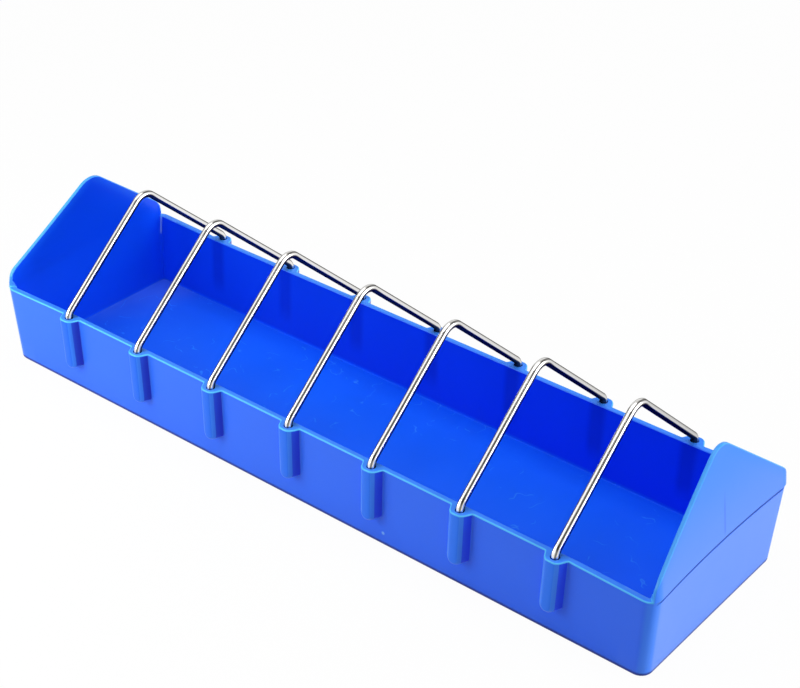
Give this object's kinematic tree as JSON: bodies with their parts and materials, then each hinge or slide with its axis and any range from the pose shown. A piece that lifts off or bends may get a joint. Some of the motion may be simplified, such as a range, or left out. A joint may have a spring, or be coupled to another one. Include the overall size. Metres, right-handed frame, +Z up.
{
  "type": "bird cage feeder",
  "caption": "Blue plastic feeding trough for cage birds, with gabled ends and a row of bent steel wire bars that keep the birds out of the feed.",
  "frame": {"origin": "middle of the trough's underside, on the surface it stands on", "axes": "+X along the trough towards the end at the right of the picture, +Y away from the viewer across the trough, +Z up"},
  "size_m": [0.319, 0.0966, 0.0743],
  "materials": {
    "blue_plastic": "semi-gloss moulded polypropylene, slightly see-through at thin edges",
    "bright_wire": "bright drawn and polished steel wire"
  },
  "bodies": {
    "trough": {"trough": "blue_plastic"},
    "wire_bar_1": {"wire_bar_1": "bright_wire"},
    "wire_bar_2": {"wire_bar_2": "bright_wire"},
    "wire_bar_3": {"wire_bar_3": "bright_wire"},
    "wire_bar_4": {"wire_bar_4": "bright_wire"},
    "wire_bar_5": {"wire_bar_5": "bright_wire"},
    "wire_bar_6": {"wire_bar_6": "bright_wire"},
    "wire_bar_7": {"wire_bar_7": "bright_wire"}
  },
  "joints": [
    {"name": "lift_bar_1", "type": "slide", "parent": "trough", "child": "wire_bar_1", "axis": [0, 0, 1], "range_m": [0, 0.06]},
    {"name": "lift_bar_2", "type": "slide", "parent": "trough", "child": "wire_bar_2", "axis": [0, 0, 1], "range_m": [0, 0.06]},
    {"name": "lift_bar_3", "type": "slide", "parent": "trough", "child": "wire_bar_3", "axis": [0, 0, 1], "range_m": [0, 0.06]},
    {"name": "lift_bar_4", "type": "slide", "parent": "trough", "child": "wire_bar_4", "axis": [0, 0, 1], "range_m": [0, 0.06]},
    {"name": "lift_bar_5", "type": "slide", "parent": "trough", "child": "wire_bar_5", "axis": [0, 0, 1], "range_m": [0, 0.06]},
    {"name": "lift_bar_6", "type": "slide", "parent": "trough", "child": "wire_bar_6", "axis": [0, 0, 1], "range_m": [0, 0.06]},
    {"name": "lift_bar_7", "type": "slide", "parent": "trough", "child": "wire_bar_7", "axis": [0, 0, 1], "range_m": [0, 0.06]}
  ]
}
